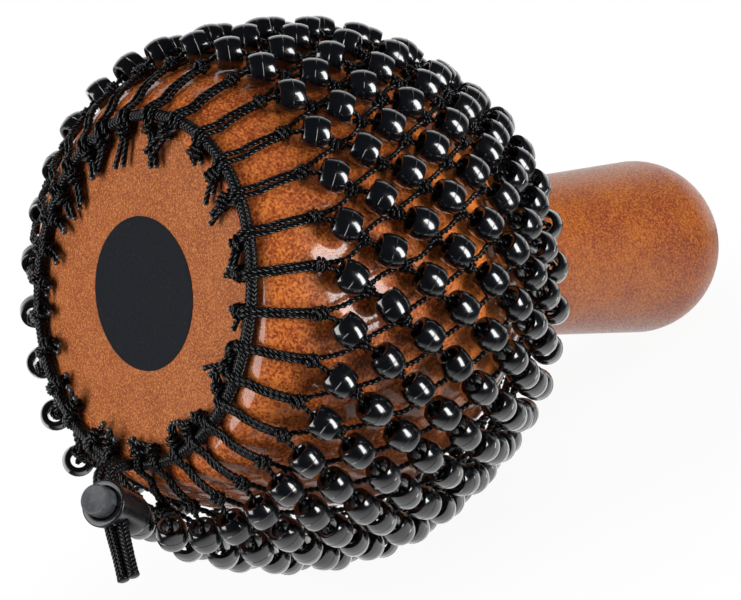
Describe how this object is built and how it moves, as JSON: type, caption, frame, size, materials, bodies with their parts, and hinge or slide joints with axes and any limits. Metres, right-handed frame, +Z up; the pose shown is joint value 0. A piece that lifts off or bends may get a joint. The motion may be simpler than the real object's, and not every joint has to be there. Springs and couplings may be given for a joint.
{
  "type": "cabasa",
  "caption": "Gourd-shaped shaker with a handle and a loose net of black beads that turns round the shell, held by a drawstring with a sprung cord lock.",
  "frame": {"origin": "middle of the bounding box on the floor that the instrument lies on", "axes": "+Z up, +X from the round front face towards the end of the handle, which dips about 24 degrees so that the bead net and the handle's end both touch the floor, +Y completes the frame"},
  "size_m": [0.242, 0.1526, 0.1567],
  "materials": {
    "shell_lacquer": "speckled orange-brown lacquer over moulded fibreglass",
    "bead_plastic": "glossy black moulded beads on a black cord",
    "net_cord": "black twisted nylon cord",
    "drawstring_cord": "black braided nylon cord",
    "lock_plastic": "satin black moulded plastic",
    "spring_steel": "plain spring wire"
  },
  "bodies": {
    "shell": {"shell": "shell_lacquer", "front_cap": "shell_lacquer"},
    "net": {"bead_row_1": "bead_plastic", "bead_row_2": "bead_plastic", "bead_row_3": "bead_plastic", "bead_row_4": "bead_plastic", "bead_row_5": "bead_plastic", "bead_row_6": "bead_plastic", "bead_row_7": "bead_plastic", "bead_row_8": "bead_plastic", "bead_row_9": "bead_plastic", "spoke_01": "net_cord", "spoke_02": "net_cord", "spoke_03": "net_cord", "spoke_04": "net_cord", "spoke_05": "net_cord", "spoke_06": "net_cord", "spoke_07": "net_cord", "spoke_08": "net_cord", "spoke_09": "net_cord", "spoke_10": "net_cord", "spoke_11": "net_cord", "spoke_12": "net_cord", "spoke_13": "net_cord", "spoke_14": "net_cord", "spoke_15": "net_cord", "spoke_16": "net_cord", "spoke_17": "net_cord", "spoke_18": "net_cord", "spoke_19": "net_cord", "spoke_20": "net_cord", "spoke_21": "net_cord", "spoke_22": "net_cord", "spoke_23": "net_cord", "spoke_24": "net_cord", "spoke_25": "net_cord", "spoke_26": "net_cord", "spoke_27": "net_cord", "spoke_28": "net_cord", "spoke_29": "net_cord", "spoke_30": "net_cord", "drawstring": "drawstring_cord", "neck_lacing": "net_cord", "neck_cord": "net_cord"},
    "cord_lock": {"lock_barrel": "lock_plastic", "lock_spring": "spring_steel"},
    "lock_button": {"lock_plunger": "lock_plastic"}
  },
  "joints": [
    {"name": "net_turn", "type": "hinge", "parent": "shell", "child": "net", "pos_m": [-0.07385, -0.00197, 0.1023], "axis": [0.9109, 0, -0.4125], "continuous": true},
    {"name": "lock_slide", "type": "slide", "parent": "net", "child": "cord_lock", "axis": [-0.5098, -0.4015, -0.7608], "range_m": [0, 0.01]},
    {"name": "button_press", "type": "slide", "parent": "cord_lock", "child": "lock_button", "axis": [0.6739, 0.3632, -0.6433], "range_m": [0, 0.0025], "stiffness_N_per_m": 1200, "deforming": ["lock_spring"]}
  ]
}
